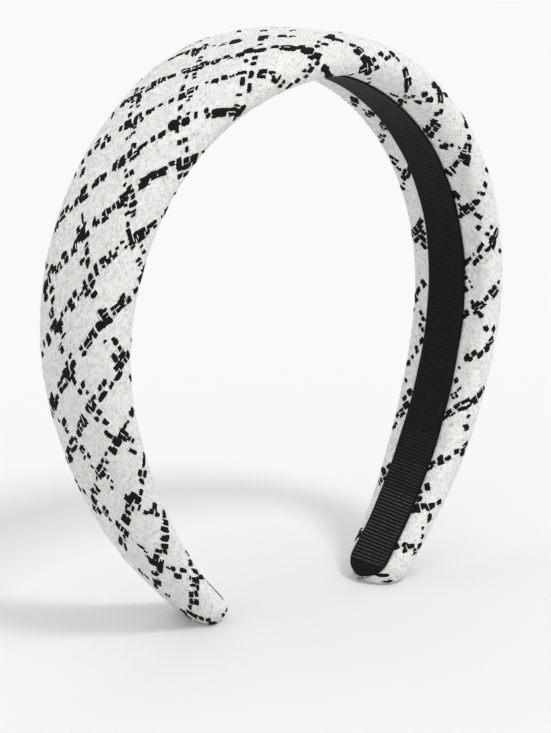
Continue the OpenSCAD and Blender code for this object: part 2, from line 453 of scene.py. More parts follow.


# Black yarns that show in the photo, each a float on the face of the cloth: s and w of its
# middle, its length and its width, as read. Here w starts at the line that faces
# straight out. Positive widths run with family A and negative ones with family B.
FLOATS = chart("""
-141.2,-16.2,1.6,-1 -139.3,-15,1.8,-1.2 -138.6,-16.5,2,-1.3 -138.7,-13.8,1.5,-0.9 -137.2,-1.8,2,1.8
-140.2,-1.8,1.2,0.8 -111.7,-12,1.6,-1 -110.8,-9.8,1.3,-0.8 -111.5,-19.3,2.2,1.6 -115.7,3,1.8,-1
-113.7,3.3,2.8,1.2 -113.5,5.5,1.2,0.8 -115,-2.5,2.5,1.4 -113.8,-3.5,2.5,1.2 -112.8,-4.2,3.5,1.6
-111.8,-6,2.5,1.4 -110.8,-5.3,2,1.1 -108.3,-8.2,2.6,1.8 -109.3,-10.8,1.5,-1 -112.8,9,3,1.4 -105,-6,1.4,-1
-103.3,-7.2,1.3,-1.1 -90.2,-12.3,2.5,1.6 -89.3,-13.8,3,1.4 -87.6,-13,2.2,1.6 -87.5,-12,1.5,-1
-86.3,-15.7,2.8,1.5 -85.8,-16.8,3,1.2 -84.3,-16.8,2.5,1.4 -84.2,-18.5,2.4,1.5 -81.8,-20.5,2,1.1
-90,5,2,-1.6 -89.5,0.7,1,0.8 -57.6,-8.8,1.4,-1 -48,-21.5,2.5,1.8 -62,-22.8,2,1.5 -63.8,-21.5,0.9,0.7
-57.2,-22.7,0.9,0.7 -45,-23,0.9,0.7 -71.8,11.3,2,1.5 -50,-1,1.3,-0.8 -42.5,-1.5,2,1 -40.3,-3.2,1.2,0.8
-33.5,-21.7,2.6,1.5 -32.5,-23,2.5,1.6 -31,-22.8,1.6,1.2 -34,-23.3,1.2,0.9 -35.7,6,2.4,1.5 -33.8,6,2.6,1.8
-32.8,4.5,2.4,1.8 -31.3,2.8,2.4,1.3 -28.8,0.3,2.4,1.6 -28.3,-1,2.6,2 -27,-2.3,2.8,2 -28.7,1.5,0.9,0.7
-25.3,-2,1.8,1.2 -25,-4,2.4,1.4 -24,-5.3,2.6,1.8 -24.8,0.3,1.6,-1 -23.3,1.5,1.6,-1 -22,-6.3,2.4,-1.5
-22.2,-8,1.4,-1 -19.8,-9,2.4,1.8 -17.5,-9,2.8,-1.8 -17.3,-10.5,2,1.4 -16,-11.8,2.4,1.8 -14,-9,1.8,-0.9
-21.4,-12.8,1.3,-0.8 -13.2,-13.3,2.2,-1.5 -11.5,-15.5,3,2 -10.8,-16.8,2.6,2 -8.5,-17.5,2,-1.7
-9,-19.3,2,1.5 -7.7,-19.5,2.2,2 -8.7,-21.5,1.6,1 -7,-21.5,2.6,1.8 -7.6,-23.3,1.6,-1 -5.5,-25.3,2.8,1.7
-4.5,-26.5,3,1.2 -3.3,-28,3,1.5 -4.8,-18.7,1.4,-1 -2.3,-18.8,1.8,-1.4 -3,-17.2,1.2,-0.8 -14,-25.7,1.4,-1.1
-16.5,-26,2,-0.9 -24,12,2.4,1 -22.5,10.8,2.8,-1.8 -20.8,8.5,3.5,-2.2 -20,7,3,2 -21.8,5.5,2.6,-1.6
-19,6,2,1.2 -17.3,7,2.6,-1.1 -17.5,3.7,1.4,-0.8 -16.3,1.7,2.6,-1.2 -13.7,0.3,3.4,-2.4 -9.3,-4.5,4,-2
-10.8,-6,2,-1.2 -6.8,-8.5,3.4,-1.8 -5.5,-10.5,1.6,1 -5.5,9.5,3.4,-0.9 -3.5,2.5,3,-1.3 0,-4,2.4,-0.8
1.5,-15.8,2.6,1.8 3,-14.5,4.5,-1.6 3,-17.5,2.4,1.4 5.5,-20,2,1.6 5.8,-22,2.2,1.4 7,-21.3,2,1.6
8,-23.8,2.4,1.8 9.5,-24.5,3,2.6 8,-26.5,3,-1.8 10.5,-27,3.4,1.8 11.3,-23.6,1.6,-1.1 13,-25.2,1.8,-1.2
5,-28.5,1.5,1 14.5,-21.2,2,-1.2 16.3,-22,1.8,-0.9 17.8,-21,0.9,-0.7 19.5,-19.3,2.4,-1.4 21,-20.5,1.6,0.8
24.5,-22.8,2.6,1.8 26.8,-24.3,2.6,2 27.8,-25.6,1.7,1.3 29.2,-26.7,2,0.9 32.8,-28.3,3,1.6 33.8,-29.7,2,1.3
32.8,-26.3,2,1 36.2,-26.5,2.4,-1.2 33,-33.3,3,-1.3 36.5,-33,3,1.4 38.5,-34,2.6,0.9 37,-31.5,1.4,0.9
37.5,-19,3,-1.6 40,-19,3,2 41,-20.5,2.6,2 43.2,-17.5,2.4,-1.1 35,-23.5,2.2,-1.5 37.8,-23.3,2.8,-1.5
43.8,-22.7,1.8,1.3 43.5,-24,1.6,1.1 46,-26,3,1.6 47.5,-27.5,3,1.2 48,-25.7,3,1.2 49.5,-27.3,3.2,1.2
49.5,-30,2.6,1.4 51,-31.8,2,1.6 51.5,-29.5,2.6,1.2 53,-31,2.4,1.4 56,-24.8,1.4,0.9 56.5,-27.2,3,1.6
57,-29,2,1.2 54.5,-28.5,0.9,-0.7 57.5,-23,0.9,0.7 69.5,-16,3,-1.2 72,-19.3,1.8,-1.4 73.8,-21,1.6,-1
73,-22.2,0.9,-0.6 83.3,-24,1.6,-1.3 91.5,-16.8,1.6,-1 101.8,-19.2,3.4,2.4 99.5,-17.5,1.6,0.8
111.8,-17.3,2.2,-1.5 112,-20.3,2,-1.3 115,-17.3,2.2,1.6 117.2,-18.6,2.2,1.8 119.4,-20.4,2.4,1.3
119.4,-22.2,2,1.4 121,-24.2,2,1.6 121.2,-23,1.8,1 124.2,-26,0.9,0.7 128,-25.8,1.8,-1.2 128.6,-15.5,2.8,1.5
130,-16.4,3,1.5 132,-17.5,2.4,1.6 132.2,-18.6,3,1.3 154.2,-22.8,1.6,1 159.4,-20.3,2.8,-1.2
161.4,-21.4,1.6,-1.1 161.7,-14.2,2,1.4 163.9,-16.1,3,1.8 164.9,-18.2,2.4,1.8 166.7,-14.4,2.8,-1.3
166.7,-18.9,1.8,1.1 165.7,-19.9,2,1.4 163.3,-20.4,1.6,-1.2 167.2,-19.7,1.6,1 170.3,-14.6,1,-0.7
172.2,-12.8,1.5,-0.9 174.7,-11.7,2.4,1.4 176.7,-12.2,2.2,1.5 176.4,-14.7,2.6,1.2 177,-16.4,2,1.3
178,-15.6,2,-1.1 178.5,-18.3,1.8,-1.4 38,32.3,3,1.6 39.7,30.6,3.4,1.8 40.8,29,2.4,1.2 42.2,28.1,2.6,1.2
45.8,31.4,3.4,1.5 46.9,29.2,2.4,1.6 44.4,30,1.5,0.7 51.1,32,4,2.2 52.2,30.6,2.6,1.4 55.6,28.4,1.8,0.9
55.3,27.4,1.4,0.9 56.1,26.4,1.8,1 57.2,27,1.6,0.9 58.3,25.6,1.4,0.8 63.9,25.9,1.8,-1 64.9,27.3,1.4,-0.9
66.1,25.4,1.6,-1 67.8,26.4,1.8,-0.9 67.8,30.6,2,1.4 69.2,28.7,3.4,2 70.8,27,2.2,1.4 72.8,25.9,1,0.7
74.3,24.5,1.8,1.6 86.7,26.4,5,2 84.4,28.1,3,1.4 87.5,25.3,3,1.5 88.6,23.7,3,1.6 87.5,28.1,2.6,-1
89.4,27.6,3,-1.4 91.7,27.6,2.4,-1.2 90.3,25,2.4,1.3 102.8,26.2,2.4,-1.5 105,24.2,2,1.2 106.7,23,2.4,1.4
107.8,23.3,2,1.4 111.1,22.2,1.4,-0.9 111.4,25.6,1.8,-1 112.9,26.7,1.8,-1 114.9,25.8,1.4,-0.9
116,26.8,1.4,-0.9 119.2,27,2,1.3 121.4,25.3,1.4,1 122.5,25.8,1.4,0.9 124.3,24.3,1.2,0.9 126.4,23,2,1.3
131.4,23.2,1.4,-0.7 134.4,25.4,2,-1.6 136.5,23.9,1.6,-1.5 138.3,25,2.6,1.8 140.8,23.6,2.6,1.8
141.7,22.3,1.6,1 144.2,22.3,1.2,0.7 145.4,21.7,1.6,1.1 156.7,22.5,2,1.2 158.6,20.7,3,-1.5 160.6,21.4,3,1.4
161.7,20.4,2,1.2
""")
# More floats, each as it lies in the photo: the pixels of its two ends and how many pixels
# wide it is, as read
MARKS = chart("""
134,96,139,91,4.4 138,96,142,90,4.4 135,91,138,88,1.6 139,90,145,87,1.4 121,106,127,100,2.8
127,101,134,98,3.2 137,102,141,98,4.8 131,103,135,101,1.4 130,108,133,106,1.4 136,107,140,104,1.4
111,118,115,112,1.4 128,117,131,114,3 125,127,131,119,5 125,130,131,124,4.4 131,127,137,119,5.4
134,120,142,114,5 141,121,144,117,2.2 120,131,122,127,2.8 133,129,137,126,1.6 132,135,135,131,1.6
126,140,129,138,2 146,112,149,110,2.2 150,113,154,108,2.2 95,146,101,141,5.4 101,148,105,143,4.4
105,139,108,136,3.8 108,141,111,138,3.8 131,150,136,144,5 137,149,147,144,3.4 152,141,155,136,5
159,139,164,131,5.6 168,128,176,121,7 172,129,180,121,6 176,134,178,127,4 178,120,180,116,4
183,125,188,118,7 177,145,180,140,4.6 184,142,188,138,5 186,146,188,152,3.6 179,109,182,105,3.6
186,114,190,112,2 195,119,197,112,4 204,111,209,111,4.6 205,116,210,116,4.6 212,111,230,109,5
212,114,228,112,3.6 212,116,226,115,4 229,117,231,113,2.2 236,106,240,104,2 178,98,186,93,5.6
187,93,194,89,4.6 194,90,198,86,3 182,91,184,86,4.2 188,97,192,95,1.8 187,103,190,99,1.6
168,104,174,99,4.2 185,78,189,76,2.6 193,76,197,73,2.2 192,79,196,77,1.6 211,84,218,79,4.2
221,79,227,76,4.2 228,76,234,76,1.2 205,83,208,82,1.5 150,88,157,83,3 237,95,243,95,1.3 242,77,243,85,5
249,84,250,93,4.2 251,71,250,79,5 258,73,266,70,5 257,77,266,76,3.2 268,74,275,73,4 273,76,274,81,3.6
271,82,278,80,4.6 278,87,282,84,4 282,84,285,81,2 233,76,238,73,2 238,75,246,71,3 279,80,281,75,2
252,59,257,56,3.6 251,62,256,65,3 302,72,306,70,3 309,73,314,67,4.6 309,66,311,63,2 306,75,306,79,2.6
88,157,91,150,3 82,164,84,160,2 81,176,84,169,3 75,176,77,172,1.5 66,210,70,205,4 70,211,73,206,3
61,222,64,212,4.5 62,213,67,208,2 56,229,58,223,1.6 113,171,116,163,4.5 119,168,124,161,4.5
119,161,125,156,4 82,223,83,213,2.2 83,225,86,222,2 71,253,78,246,5 93,225,96,220,4.5 96,227,99,220,3.5
117,206,123,200,5.5 120,200,124,194,4 123,204,128,196,5 124,196,131,190,3.5 130,199,134,189,4.5
130,208,135,200,5.5 125,216,129,211,3 131,213,136,209,1.6 132,217,136,214,1.8 124,207,127,204,1.6
127,227,129,221,4 127,241,131,229,5.5 131,243,135,235,4.5 135,238,144,227,6.5 137,242,144,233,7
129,246,136,241,3.2 148,229,152,222,4.5 146,235,149,230,3.6 153,224,157,220,3.2 154,229,156,225,2.4
131,248,136,245,2.2 140,247,144,245,2.2 122,245,124,240,3 125,249,126,246,1.2 142,255,145,251,3
136,262,140,257,3 138,266,142,262,1.6 63,259,65,252,4.2 66,263,68,256,4.2 86,255,87,244,4.2
81,265,83,258,3.8 87,266,88,258,4.2 100,264,106,257,5 104,268,106,263,2 107,265,111,259,4.4
110,258,112,250,2 113,258,116,252,4.2 115,251,117,247,1.8 52,272,57,267,3.2 58,268,61,262,3
60,270,62,266,2.2 47,270,47,265,1.6 46,262,48,257,1.6 124,159,132,151,5.6 130,160,139,151,5.4
78,238,84,228,4 75,248,79,236,4 72,252,76,246,4 82,240,84,232,3 139,189,148,181,6 141,182,149,176,5
148,178,155,172,6 158,173,166,166,5 151,180,158,176,3.5 158,177,167,172,4.2 168,166,175,162,4.6
177,171,181,158,4.6 181,169,190,164,5 183,162,190,158,5 190,159,193,157,3.4 193,159,197,156,3
191,165,196,161,2 179,178,181,173,4 184,176,187,172,3 124,172,127,169,1.8 125,177,129,174,2.6
124,186,127,182,2 126,189,132,186,3 92,188,99,180,4 96,184,103,176,4.4 100,179,108,174,4.4 79,190,88,188,4
79,195,87,191,3.4 74,204,81,197,5.4 80,202,88,193,3.6 101,222,108,216,4.4 103,217,110,208,4.4
107,213,115,205,4.4 112,206,120,201,4 77,234,79,227,3.4 82,231,87,227,3.4 79,239,86,230,4.4
83,239,90,231,4.4 144,275,147,266,1.6 139,281,145,273,2.2 95,277,97,264,3.8 90,286,92,273,5.2
92,287,94,280,3 85,290,86,280,3.2 82,286,85,289,2 74,297,76,291,4.2 79,295,83,292,2.6 78,301,78,297,1.8
87,298,89,290,4.2 93,299,96,291,5.4 48,277,52,268,4.6 55,274,60,268,2.6 47,283,51,277,4.2
43,291,49,281,5.4 50,293,52,287,3.2 45,300,47,294,3.8 52,302,54,296,3.2 68,306,72,298,4.4
71,310,75,303,4.4 65,310,68,306,3.2 52,331,55,320,4.4 55,335,61,320,6.4 61,334,61,328,2.8
63,340,64,333,1.6 47,340,49,334,4.2 48,344,51,337,4.2 45,347,44,340,1.6 43,357,42,352,1.6
60,350,61,342,2.8 62,354,62,347,4.4 70,358,71,353,3 66,365,67,361,3.2 72,370,73,361,5.2 65,378,68,367,6.6
70,382,72,370,4.4 74,384,73,374,3.2 67,380,69,374,3.4 61,383,63,376,3.4 65,390,66,381,3.4
59,388,59,383,3.4 62,393,61,387,3.4 50,408,54,396,6.6 55,409,57,400,4.6 56,399,59,396,3.2
79,394,80,389,3.2 82,388,83,383,3.4 86,394,88,391,2.8 80,350,83,345,3.6 83,356,84,350,3.2
86,347,90,333,5.6 90,337,93,330,4.2 94,337,96,332,4.4 88,348,92,341,2 104,343,106,339,1.6
113,338,118,346,5.4 117,345,121,349,4.4 112,354,118,361,5.6 116,371,120,361,5 120,361,124,351,5
121,370,125,361,3.2 125,363,130,353,4 126,354,128,350,2.6 115,381,122,371,5.4 103,386,107,380,5.4
111,389,113,381,4.4 98,390,102,386,4.2 98,402,107,392,4.6 91,402,95,395,4.6 86,411,89,405,4.6
91,410,96,403,5.6 130.5,344,131,341,1.6 130.5,380,131,376,2 71,445,72,435,3.4 67,455,69,445,3.8
73,454,75,445,3.8 69,462,71,455,5 65,458,69,464,1.6 75,438,78,443,2.2 80,447,85,452,4.4 84,459,86,455,2.6
87,453,90,457,2.8 90,465,94,468,1.6 98,471,101,464,4.4 101,460,104,463,3.4 105,461,108,464,3.4
103,467,107,470,1.6 96,469,104,477,5.4 101,472,105,477,5 97,480,98,476,2.8 107,479,109,476,2.2
111,485,113,489,2.2 111,480,112,483,1.2 74,479,78,484,3.2 78,487,82,490,2.2 82,490,87,493,1.4
90,489,95,492,3.4 96,487,100,492,2.8 93,484,97,487,1.4 95,492,98,495,1.4 91,497,97,504,3.4
93,505,96,512,3.2 96,508,102,513,2.6 102,509,108,515,4.4 124,495,132,502,5.2 128,506,134,492,5.4
131,495,139,503,8.5 139,495,142,489,3.6 125,508,129,504,2.8 131,511,135,506,3.4 138,504,139,511,1.8
125,510,131,515,3.6 108,447,112,452,4.4 112,454,116,448,5.4 105,430,112,438,4.4 113,439,121,446,8.5
119,432,127,439,9 122,430,126,424,2.8 127,423,129,420,2.2 128,440,131,436,2.8 133,443,134,438,2.2
129,448,137,454,4 142,453,146,468,2 140,477,142,470,3.8 144,478,145,470,3.4 139,482,143,480,5.5
105,456,107,453,1.8 123,516,129,525,8.5 115,523,124,531,3.8 121,528,129,536,5.2 120,547,122,535,4
123,539,127,536,3.4 124,542,127,550,2.4 139,543,144,550,1.4 144,551,148,553,1.2 145,554,150,559,1.8
151,556,161,570,7.5 157,571,164,560,6.4 160,573,162,563,4.4 152,570,156,577,2.2 155,571,159,575,1.8
152,580,160,592,3.2 157,579,161,587,3.2 139,569,143,575,2.8 145,575,150,579,1.2 165,593,169,597,2.8
156,553,162,550,4.4 162,553,167,551,4.4 163,510,165,521,2.8 166,526,166,520,6 165,533,166,527,8.5
165,542,166,535,9 164,549,165,544,8 191,566,191,559,3.8 195,574,196,569,5.4 190,556,187,550,1.4
203,580,201,574,3.2 190,580,190,576,2 193,582,194,577,3.6 197,584,196,577,4.6 193,586,194,583,5
198,591,197,585,2.6 194,597,194,591,9.4 191,604,191,599,4.4 196,605,196,599,5 191,609,190,604,3.4
180,609,187,614,1.8 187,611,197,618,6.4 184,613,192,619,2.4 198,618,204,619,2.8 206,620,211,620,3.6
208,623,217,624,3 222,617,225,613,2.8 227,613,228,607,1.8 166,566,171,569,1.8 171,569,176,569,4.4
180,569,187,572,4.6 174,575,182,576,4.8 152,579,160,585,2.6 153,555,158,560,5 158,563,161,572,4.5
463,113,465,120,1.8 465,119,467,128,2.2 468,140,470,134,4 465,152,465,143,3.6 469,153,470,144,3.2
458,160,466,152,6.5 462,164,471,156,7 452,166,460,161,5 446,169,452,176,3.6 450,166,456,173,2.6
459,150,461,147,2 457,197,460,200,2.2 452,199,457,198,1.8 379,571,387,579,5 384,583,393,580,1.8
353,570,354,575,3 356,573,359,582,2 353,540,360,530,2.4 470,204,476,200,3 474,203,481,201,5.5
463,211,470,205,5.5 469,208,474,208,5 459,210,465,206,3 460,217,464,213,5 464,214,467,212,2.2
467,215,470,211,2.2 457,204,462,206,1.8 453,192,458,197,4 457,192,460,198,2 453,199,456,197,2.4
473,214,482,219,4.5 476,251,485,246,4.6 484,250,492,247,4.4 488,243,494,236,4.4 491,248,496,240,3.6
494,238,498,228,4 485,232,489,235,4 490,226,493,228,3.6 478,255,483,258,3.6 473,253,475,256,1.6
468,262,471,257,3.6 472,263,479,259,4.6 462,267,468,261,4.6 462,272,468,279,4.6 463,285,468,291,4.6
471,304,474,301,4 472,309,479,302,4.4 478,307,485,302,6.6 474,310,480,308,3 472,313,478,312,4.4
477,312,483,317,4.4 484,300,490,298,4.4 463,312,469,315,5 461,318,466,315,4.6 469,281,471,283,1.6
470,286,473,288,1.6 452,399,457,393,5.6 455,392,461,388,1.8 460,403,470,399,4 455,409,459,403,4
459,412,468,406,4.6 464,408,471,405,3 446,414,451,409,4.4 450,417,454,412,1.8 442,418,449,415,3.4
463,426,469,429,5 467,418,470,414,3 461,456,464,448,4.2 463,449,467,442,3.2 454,453,459,450,4.4
446,461,449,455,4.6 437,460,443,457,5.2 438,465,444,462,4.8 430,464,435,461,3.6 429,468,434,466,2.6
365,80,374,78,1.6 364,84,373,82,1.4
""")
# How near in pixels a place of the cloth lies to a mark's middle, and how far in millimetres
# behind the foremost such place
MARK_NEAR = 2.2
MARK_BEHIND = 6.0
# The places of the cloth that are tried: how many along the band, how far from its crest and
# how close together round it, and the step that shows which way a yarn runs in the photo
MARK_PLACES = 1001
MARK_REACH = 49.2
MARK_GRID = 0.4
MARK_STEP = 0.7
# How much of its length and width a float shows, and the limits of both in millimetres
SHOWN_LENGTH = 0.95
SHOWN_WIDTH = 0.94
LENGTH_LIMITS = (0.9, 4.8)
WIDTH_LIMITS = (0.5, 2.1)
# The least sine of the angle between two crossing yarns that a float is cut to
LEAST_LEAN = 0.5
# The parts of the cloth that those floats cover: s, and the least and greatest w there
SEEN_LEFT = chart("""
-187,-19,7 -150,-22.5,9 -110,-24,13 -50,-25.5,17 -20,-29,17 0,-31,11 12,-31,-9 20,-31,-14
""")
SEEN_FRONT = chart("12,-31,-9 20,-45,-13 60,-42,-12.5 120,-36,-10 180,-28,-6 187,-26,-4")
SEEN_BACK = chart("25,26,46 60,22,42 100,20,38 140,18,35 187,13,28")


def facing_out(s):
    """The w of the line that faces straight out, which a rolled leg's crest doesn't."""
    return -(EDGE_DEPTH + pad_at(s)) * np.sin(roll_at(s))


def seen(s, w):
    """Whether a place on the cloth is one whose floats were read off the photo."""
    w = w - facing_out(s)
    for area in (SEEN_LEFT, SEEN_FRONT, SEEN_BACK):
        if area[0, 0] <= s <= area[-1, 0]:
            if np.interp(s, area[:, 0], area[:, 1]) <= w <= np.interp(s, area[:, 0], area[:, 2]):
                return True
    return False


def charted_floats():
    """The floats that were read as places on the cloth."""
    return [
        (s, w + facing_out(s), length, abs(width), "A" if width > 0 else "B")
        for s, w, length, width in FLOATS
    ]


# The slant by which a place is brought back to where its line crosses the crest
MEAN_SLANT = 1.1


def slant_at(s, w, family):
    """The direction of a family's yarns at a place, as an angle in the s and w plane."""
    lines = A_LINES if family == "A" else B_LINES
    sign = -1 if family == "A" else 1
    column = 1 if w < 0 else 2
    start = s - sign * w * MEAN_SLANT
    slant = np.interp(start, lines[:, 0], lines[:, column])
    return math.atan2(1, sign * slant) if family == "B" else math.atan2(-1, slant)


class Picture:
    """Where the places of the cloth that face the camera lie in the photo, in its pixels."""

    def __init__(self):
        self.spot, self.right, self.up, self.ahead = (np.array(v) for v in camera_axes())
        s = np.linspace(-LEG_LENGTH, LEG_LENGTH, MARK_PLACES)
        w = np.arange(-MARK_REACH, MARK_REACH + MARK_GRID / 2, MARK_GRID)
        s, w = (values.ravel() for values in np.meshgrid(s, w, indexing="ij"))
        on = np.abs(w) < surface.half_round(s)
        s, w = s[on], w[on]
        towards = self.spot - surface.at(s, w, 0) / MM
        facing = (towards * surface.normal(s, w)).sum(-1) > 0
        self.s, self.w = s[facing], w[facing]
        self.pixels, self.depth = self.shown(self.s, self.w)

    def shown(self, s, w):
        """The pixels of places on the cloth, and their distance in front of the camera."""
        off = surface.at(s, w, 0) / MM - self.spot
        depth = off @ self.ahead
        x = PICTURE_SIZE[0] / 2 + CAM_FOCAL * (off @ self.right) / depth
        y = PICTURE_SIZE[1] / 2 - CAM_FOCAL * (off @ self.up) / depth
        return np.stack([x, y], -1), depth

    def under(self, pixel):
        """The s and w of the foremost place of the cloth at a pixel."""
        away = np.hypot(*(self.pixels - pixel).T)
        near = away <= max(MARK_NEAR, away.min())
        near &= self.depth < self.depth[near].min() + MARK_BEHIND
        k = np.where(near, away, np.inf).argmin()
        return self.s[k], self.w[k]

    def way(self, s, w, family):
        """The pixels to a millimetre along a family's yarns at a place, and their angle."""
        angle = slant_at(s, w, family)
        step = MARK_STEP * np.array([-1, 1])
        ends, _ = self.shown(s + step * math.cos(angle), w + step * math.sin(angle))
        return (ends[1] - ends[0]) / (2 * MARK_STEP), angle


def marked_floats():
    """The floats whose ends are marked in the photo, laid along the nearer family."""
    picture = Picture()
    floats = []
    for x0, y0, x1, y1, wide in MARKS:
        mark = np.array([x1 - x0, y1 - y0])
        s, w = picture.under(((x0 + x1) / 2, (y0 + y1) / 2))
        ways = [(*picture.way(s, w, family), family) for family in "AB"]
        ways.sort(key=lambda way: -abs(way[0] @ mark) / np.hypot(*way[0]))
        (run, angle, family), (over, over_angle, _) = ways
        scale = np.hypot(*run)
        side = abs(run[0] * over[1] - run[1] * over[0]) / scale
        lean = max(abs(math.sin(over_angle - angle)), LEAST_LEAN)
        length = np.clip(np.hypot(*mark) / scale / SHOWN_LENGTH, *LENGTH_LIMITS)
        width = np.clip(wide / side * lean / WIDTH_GAIN / SHOWN_WIDTH, *WIDTH_LIMITS)
        floats.append((s, w, length, width, family))
    return floats


CARRIED_ON = (
    (A_LINES, "A", -1, 0.891, (1.8, 4.0), (0.4, 1.0), (1.0, 1.45)),
    (B_LINES, "B", 1, 1.2825, (1.3, 2.7), (0.9, 2.2), (0.9, 1.3)),
)
# Where in w such a line starts and ends, how far in s it goes, and how far it stays off the
# middle of the inner face
CARRIED_FROM = (-48, -46)
CARRIED_TO = 48
CARRIED_REACH = 186
CARRIED_CLEAR = 2


def carried_on_floats():
    """Floats along the lines where the photo doesn't show them: two yarns side by side."""
    floats = []
    for lines, family, sign, off, lengths, gaps, widths in CARRIED_ON:
        for start, front, back in lines:
            for lane in (-off, off):
                w = rng.uniform(*CARRIED_FROM)
                while w < CARRIED_TO:
                    slant = front if w < 0 else back
                    scale = 1 / math.hypot(1, slant)
                    length = rng.uniform(*lengths)
                    middle = w + length / 2 * scale
                    s = start + sign * slant * middle + lane
                    width = rng.uniform(*widths)
                    room = surface.half_round(s) - CARRIED_CLEAR
                    if abs(s) < CARRIED_REACH and abs(middle) < room and not seen(s, middle):
                        floats.append((s, middle, length, width, family))
                    w += (length + rng.uniform(*gaps)) * scale
    return floats


# The points of a float along it and across it, as shares of half its length and width, and
# its width and the drop of its crown there
FLOAT_ALONG = np.array([-1, -0.88, -0.45, 0, 0.45, 0.88, 1])
FLOAT_ACROSS = np.array([-1, -0.84, 0, 0.84, 1])
FLOAT_SWELL = np.array([0.64, 0.84, 1, 1, 1, 0.84, 0.64])
DROP_ALONG = np.array([0.15, 0.15, 0, 0, 0, 0.15, 0.15])
DROP_ACROSS = np.array([0.25, 0.25, 0, 0.25, 0.25])
# The heights of a float and of a white thread, the depth of their rims, and how uneven the
# outline of each is
FLOAT_TOP = 0.21
THREAD_TOP = 0.27
BURIED = -0.2
FLOAT_UNEVEN = 0.11
THREAD_UNEVEN = 0.08
# A white thread's width, and how many times its width as read a float is made
THREAD_WIDTH = 0.22
WIDTH_GAIN = 1.30
# How far in radians a float turns off its family, and its ends off the other one
TURN_ALONG = 0.07
TURN_ACROSS = 0.10
# A float wider than two yarns may be parted along its middle: how often, how far its halves
# slide, and, in float lengths, how far the thread between them slides and how long it is
TWO_YARNS = 1.45
PARTED = 0.22
HALF_SLIDE = 0.2
PART_SLIDE = 0.25
PART_LENGTH = (0.3, 0.7)
# How often a long float is cut across and how far off its middle, how often a cut or an end
# is marked by a white thread, how many thread widths past an end that lies, and how many
# float widths long it is
LONG_FLOAT = 2.5
CUT_ACROSS = 0.3
CUT_SLIDE = 0.2
END_MARKED = 0.35
END_PAST = 0.4
CUT_LENGTH = (1.0, 1.5)


def moved(s, w, step, angle):
    """The place a step away, at an angle in the s and w plane."""
    return s + step * math.cos(angle), w + step * math.sin(angle)


def bar(s, w, length, width, along_angle, across_angle, top, unevenness):
    """A low bar on the cloth, whose ends are cut along the threads that cross it."""
    u, v = FLOAT_ALONG[:, None], FLOAT_ACROSS
    wave = np.cumsum(rng.normal(0, unevenness, len(u)))
    wave -= wave.mean()
    swell = FLOAT_SWELL + rng.normal(0, unevenness, len(u))
    reach = length / 2 * (1 + rng.normal(0, unevenness, len(v)))
    lean = max(abs(math.sin(across_angle - along_angle)), LEAST_LEAN)
    gu = u * reach
    gv = (v * swell[:, None] + wave[:, None]) * width / 2 / lean
    gs = s + gu * math.cos(along_angle) + gv * math.cos(across_angle)
    gw = w + gu * math.sin(along_angle) + gv * math.sin(across_angle)
    rim = (np.abs(u) == 1) | (np.abs(v) == 1)
    return gs, gw, np.where(rim, BURIED, top * (1 - DROP_ACROSS - DROP_ALONG[:, None]))


def white_thread(s, w, length, along_angle, across_angle):
    return bar(s, w, length, THREAD_WIDTH, along_angle, across_angle, THREAD_TOP, THREAD_UNEVEN)


def yarn_floats(floats):
    """The black floats, and the white threads that bind them down and part them."""
    black, white = [], []
    for s, w, length, width, family in floats:
        angle = slant_at(s, w, family) + rng.normal(0, TURN_ALONG)
        cross = slant_at(s, w, "B" if family == "A" else "A") + rng.normal(0, TURN_ACROSS)
        width = width * WIDTH_GAIN
        lanes = [(0.0, width)]
        if width > TWO_YARNS * WIDTH_GAIN and rng.random() < PARTED:
            lanes = [(-width / 4, width / 2), (width / 4, width / 2)]
            middle = moved(s, w, rng.uniform(-PART_SLIDE, PART_SLIDE) * length, angle)
            white.append(white_thread(*middle, length * rng.uniform(*PART_LENGTH), angle, cross))
        for off, lane in lanes:
            slide = rng.uniform(-HALF_SLIDE, HALF_SLIDE) if len(lanes) > 1 else 0.0
            middle = moved(*moved(s, w, off, cross), slide, angle)
            black.append(bar(*middle, length, lane, angle, cross, FLOAT_TOP, FLOAT_UNEVEN))
        end = length / 2 + END_PAST * THREAD_WIDTH
        cuts = [-end, end]
        if length > LONG_FLOAT and rng.random() < CUT_ACROSS:
            cuts.append(rng.uniform(-CUT_SLIDE, CUT_SLIDE) * length)
        for cut in cuts:
            if rng.random() < END_MARKED:
                middle = moved(s, w, cut, angle)
                white.append(white_thread(*middle, width * rng.uniform(*CUT_LENGTH), cross, angle))
    return black, white


def bars_mesh(bars):
    """The points and faces of many bars at once."""
    gs, gw, height = (np.array([bar[k] for bar in bars]) for k in range(3))
    count = len(FLOAT_ALONG) * len(FLOAT_ACROSS)
    faces = grid_faces(len(FLOAT_ALONG), len(FLOAT_ACROSS))
    faces = (np.arange(len(bars))[:, None, None] * count + faces[None]).reshape(-1, 4)
    return surface.at(gs, gw, height).reshape(-1, 3), faces


# The ribbon's width, how far before the band's ends it stops, and over how much it is rounded
RIBBON_WIDTH = 13.7
RIBBON_STOP = 0.4
RIBBON_ROUND = 7.0
# The exponent of its rounded ends, and the least share of its width there
RIBBON_CORNER = 2.6
RIBBON_END_SHARE = 0.05
# How its edges waver: the share of its width, the millimetres to a radian, and the start
RIBBON_WAVES = ((0.012, 7.3, 0), (0.010, 2.9, 1))
# The ribs' pitch, mesh rows to one, height, and slant across the ribbon
RIB_PITCH = 1.035
ROWS_PER_RIB = 8
RIB_HEIGHT = 0.16
RIB_SLANT = 0.06
# The ribs stand out over the lower legs, and are pulled flatter above; over the same span
# the painted sheen on their crests goes from its faintest to its brightest
FLAT_RIBS = 0.35
RIBS_RISE = (140.0, 168.0)
# The ribs fade out before the ribbon's end, and over how many millimetres
RIBS_STOP = 3.2
RIBS_FADE = 1.5
